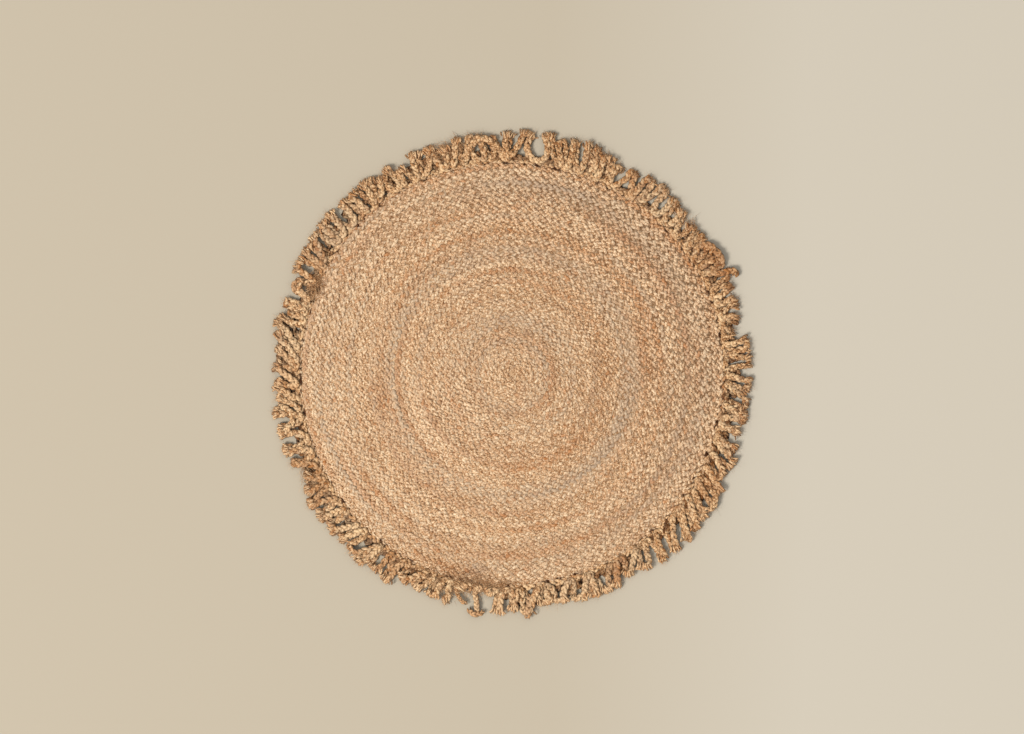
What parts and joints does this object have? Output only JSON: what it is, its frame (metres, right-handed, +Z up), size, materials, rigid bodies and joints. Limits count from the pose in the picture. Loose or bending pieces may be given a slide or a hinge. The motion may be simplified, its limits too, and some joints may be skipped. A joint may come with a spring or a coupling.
{
  "type": "round jute rug",
  "caption": "Round flat rug of one jute plait coiled and sewn into a disc, edged all round with a fringe of short plaited loops.",
  "frame": {"origin": "centre of the coil, on the flat underside that rests on the floor", "axes": "+Z up out of the rug's face, +Y towards the side that is uppermost in a view from straight above, +X to the right"},
  "size_m": [1.2046, 1.2167, 0.0098],
  "materials": {
    "jute_plait": "golden natural jute in a flat three-strand plait, dull with a slight fibre sheen",
    "jute_fringe": "browner natural jute plait in loose loops, frizzy at the heads"
  },
  "bodies": {
    "root": {"braided_body": "jute_plait", "loop_fringe": "jute_fringe"}
  },
  "joints": []
}
